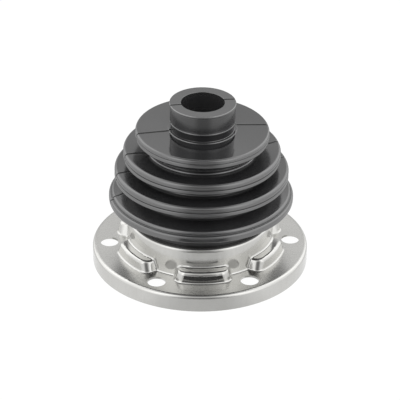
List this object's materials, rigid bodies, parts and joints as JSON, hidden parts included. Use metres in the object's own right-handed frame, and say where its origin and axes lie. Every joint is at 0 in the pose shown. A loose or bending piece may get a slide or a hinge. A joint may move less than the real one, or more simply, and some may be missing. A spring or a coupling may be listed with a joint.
{
  "type": "flanged rubber bellows boot",
  "caption": "Stepped black rubber bellows boot held in a pressed steel flange cap, to seal the open side of a flanged drive joint round its shaft.",
  "frame": {"origin": "centre of the flange cap's skirt, at its bottom edge", "axes": "+Z along the shaft, from the joint to the boot's small end; +X through one of the six bolt holes"},
  "size_m": [0.102, 0.102, 0.0816],
  "materials": {
    "moulded_rubber": "moulded black rubber, smooth and half gloss, with a fine mould line on both sides",
    "pressed_steel": "cold-rolled sheet steel, pressed and plated, satin with faint rolling marks"
  },
  "bodies": {
    "root": {"rubber_bellows": "moulded_rubber", "steel_flange": "pressed_steel"}
  },
  "joints": []
}
